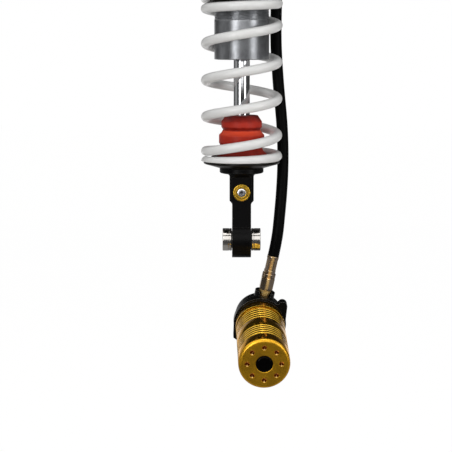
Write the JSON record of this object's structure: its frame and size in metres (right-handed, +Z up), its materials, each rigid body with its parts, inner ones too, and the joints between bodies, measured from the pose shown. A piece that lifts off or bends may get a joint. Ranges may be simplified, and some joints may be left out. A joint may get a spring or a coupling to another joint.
{
  "type": "motorcycle shock absorber",
  "caption": "Coil-over rear shock absorber with white coil spring, eye mounts, rebound knob and a gold remote gas reservoir on a rubber hose.",
  "frame": {"origin": "centre of the upper eye's bolt hole", "axes": "+X along both eye bolts, +Z up along the damper, the adjuster knob faces -Y"},
  "size_m": [0.0906, 0.164, 0.4791],
  "materials": {
    "black_anodised": "satin black anodised, fine machining marks",
    "gold_anodised": "gold anodised, satin, turned",
    "white_spring_coat": "white powder coat, semi-gloss",
    "hard_chrome": "polished hard chrome",
    "bare_aluminium": "hard anodised, fine turning marks",
    "red_elastomer": "moulded polyurethane, semi-gloss",
    "hose_rubber": "smooth black rubber",
    "seal_rubber": "black nitrile",
    "plated_steel": "zinc plated, satin",
    "polished_steel": "polished steel",
    "dark_steel": "phosphated steel",
    "brass": "turned brass",
    "bearing_bronze": "bronze bearing lining",
    "glide_plastic": "bronze-filled low-friction plastic",
    "black_plastic": "gloss black moulded plastic"
  },
  "bodies": {
    "damper_body": {"upper_mount_head": "black_anodised", "cylinder_tube": "bare_aluminium", "seal_head": "bare_aluminium", "seal_head_o_ring": "seal_rubber", "rod_guide_bush": "bearing_bronze", "rod_seal": "seal_rubber", "dust_wiper": "seal_rubber", "seal_head_circlip": "dark_steel", "tube_end_cap": "bare_aluminium", "upper_bearing_race": "dark_steel", "upper_bearing_circlips": "dark_steel", "upper_bearing_seals": "seal_rubber", "banjo_washers": "plated_steel", "banjo_bolt": "plated_steel", "hose_banjo": "plated_steel", "hose_upper_ferrule": "plated_steel", "hose": "hose_rubber", "hose_lower_ferrule": "plated_steel", "hose_nut": "plated_steel", "port_adapter": "brass", "reservoir_rear_head": "black_anodised", "reservoir_body": "gold_anodised", "reservoir_end_cap": "gold_anodised", "reservoir_o_rings": "seal_rubber", "gas_valve_plug": "black_plastic", "gas_valve_body": "brass", "gas_valve_core": "polished_steel", "reservoir_clamp": "black_anodised", "clamp_liner": "seal_rubber", "clamp_bolt": "plated_steel", "coil_spring": "white_spring_coat"},
    "damper_shaft": {"piston_rod": "hard_chrome", "piston": "bare_aluminium", "piston_band": "glide_plastic", "compression_shims": "polished_steel", "rebound_shims": "polished_steel", "piston_washers": "dark_steel", "piston_nut": "dark_steel", "top_out_bumper": "seal_rubber", "bump_stop": "red_elastomer", "lower_spring_seat": "black_anodised", "lower_mount": "black_anodised", "knob_bush": "brass", "knob_detent": "polished_steel", "lower_bearing_race": "dark_steel", "lower_bearing_circlips": "dark_steel", "lower_bearing_seals": "seal_rubber"},
    "adjuster_knob": {"rebound_knob": "gold_anodised", "knob_screw": "polished_steel"},
    "adjuster_cone": {"rebound_cone": "brass"},
    "push_rod": {"rebound_push_rod": "polished_steel"},
    "spring_seat": {"upper_spring_seat": "black_anodised"},
    "preload_collars": {"preload_ring": "gold_anodised", "lock_ring": "gold_anodised"},
    "upper_ball": {"upper_bearing_ball": "polished_steel", "upper_spacers": "hard_chrome"},
    "lower_ball": {"lower_bearing_ball": "polished_steel", "lower_spacers": "hard_chrome"},
    "gas_piston": {"floating_piston": "bare_aluminium", "floating_piston_band": "glide_plastic"}
  },
  "joints": [
    {"name": "damper_stroke", "type": "slide", "parent": "damper_body", "child": "damper_shaft", "axis": [0, 0, 1], "range_m": [0, 0.054], "stiffness_N_per_m": 54000, "springref_m": -0.001, "deforming": ["coil_spring"]},
    {"name": "gas_piston_slide", "type": "slide", "parent": "damper_body", "child": "gas_piston", "axis": [0.0147, -0.9906, -0.1357], "range_m": [0, 0.0079]},
    {"name": "preload_seat_slide", "type": "slide", "parent": "damper_body", "child": "spring_seat", "axis": [0, 0, 1], "range_m": [0, 0.0101]},
    {"name": "preload_collar_turn", "type": "hinge", "parent": "spring_seat", "child": "preload_collars", "pos_m": [0, 0, -0.08], "axis": [0, 0, 1], "range_deg": [0, 2400]},
    {"name": "rebound_knob_turn", "type": "hinge", "parent": "damper_shaft", "child": "adjuster_knob", "pos_m": [0, -0.012, -0.2865], "axis": [0, 1, 0], "range_deg": [0, 1080]},
    {"name": "rebound_cone_slide", "type": "slide", "parent": "damper_shaft", "child": "adjuster_cone", "axis": [0, 1, 0], "range_m": [0, 0.00225]},
    {"name": "rebound_push_rod_slide", "type": "slide", "parent": "damper_shaft", "child": "push_rod", "axis": [0, 0, 1], "range_m": [0, 0.0006]},
    {"name": "upper_eye_turn", "type": "hinge", "parent": "damper_body", "child": "upper_ball", "pos_m": [0, 0, 0], "axis": [1, 0, 0], "continuous": true},
    {"name": "lower_eye_turn", "type": "hinge", "parent": "damper_shaft", "child": "lower_ball", "pos_m": [0, 0, -0.335], "axis": [1, 0, 0], "continuous": true}
  ],
  "couplings": [
    {"joint": "gas_piston_slide", "follows": "damper_stroke", "ratio": 0.14513},
    {"joint": "preload_seat_slide", "follows": "preload_collar_turn", "m_per_rad": 0.00023873},
    {"joint": "rebound_knob_turn", "follows": "rebound_cone_slide", "rad_per_m": 8377.5},
    {"joint": "rebound_push_rod_slide", "follows": "rebound_cone_slide", "ratio": 0.25}
  ]
}
